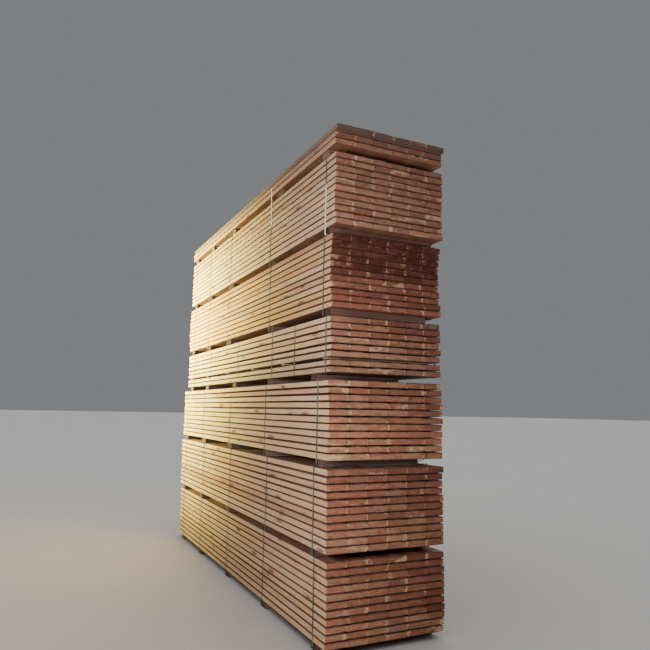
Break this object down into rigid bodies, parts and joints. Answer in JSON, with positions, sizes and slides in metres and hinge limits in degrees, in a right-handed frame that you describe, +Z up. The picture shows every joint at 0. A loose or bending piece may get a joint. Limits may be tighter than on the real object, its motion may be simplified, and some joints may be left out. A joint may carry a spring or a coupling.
{
  "type": "stack of lumber",
  "caption": "Tall free-standing stack of long sawn boards in strapped packs, each pack on crosswise bearers, with a loose part pack on top.",
  "frame": {"origin": "bottom centre of the bounding box, on the floor under the lowest bearers", "axes": "+X along the boards, +Y across the packs towards the bearers' short ends, +Z up"},
  "size_m": [4.1272, 0.9672, 3.5092],
  "materials": {
    "board_wood": "rough sawn, dull",
    "bearer_wood": "rough sawn, weathered, dull",
    "lath_wood": "sawn, dull",
    "strap_plastic": "half-gloss embossed strapping"
  },
  "bodies": {
    "root": {"pack_1_boards": "board_wood", "pack_2_boards": "board_wood", "pack_3_boards": "board_wood", "low_pack_boards": "board_wood", "pack_5_boards": "board_wood", "pack_6_boards": "board_wood", "top_pack_boards": "board_wood", "pack_1_bearers": "bearer_wood", "pack_2_bearers": "bearer_wood", "pack_3_bearers": "bearer_wood", "low_pack_bearers": "bearer_wood", "pack_5_bearers": "bearer_wood", "pack_6_bearers": "bearer_wood", "top_pack_bearers": "bearer_wood", "low_pack_laths": "lath_wood", "pack_1_straps": "strap_plastic", "pack_2_straps": "strap_plastic", "pack_3_straps": "strap_plastic", "low_pack_straps": "strap_plastic", "pack_5_straps": "strap_plastic", "pack_6_straps": "strap_plastic"}
  },
  "joints": []
}
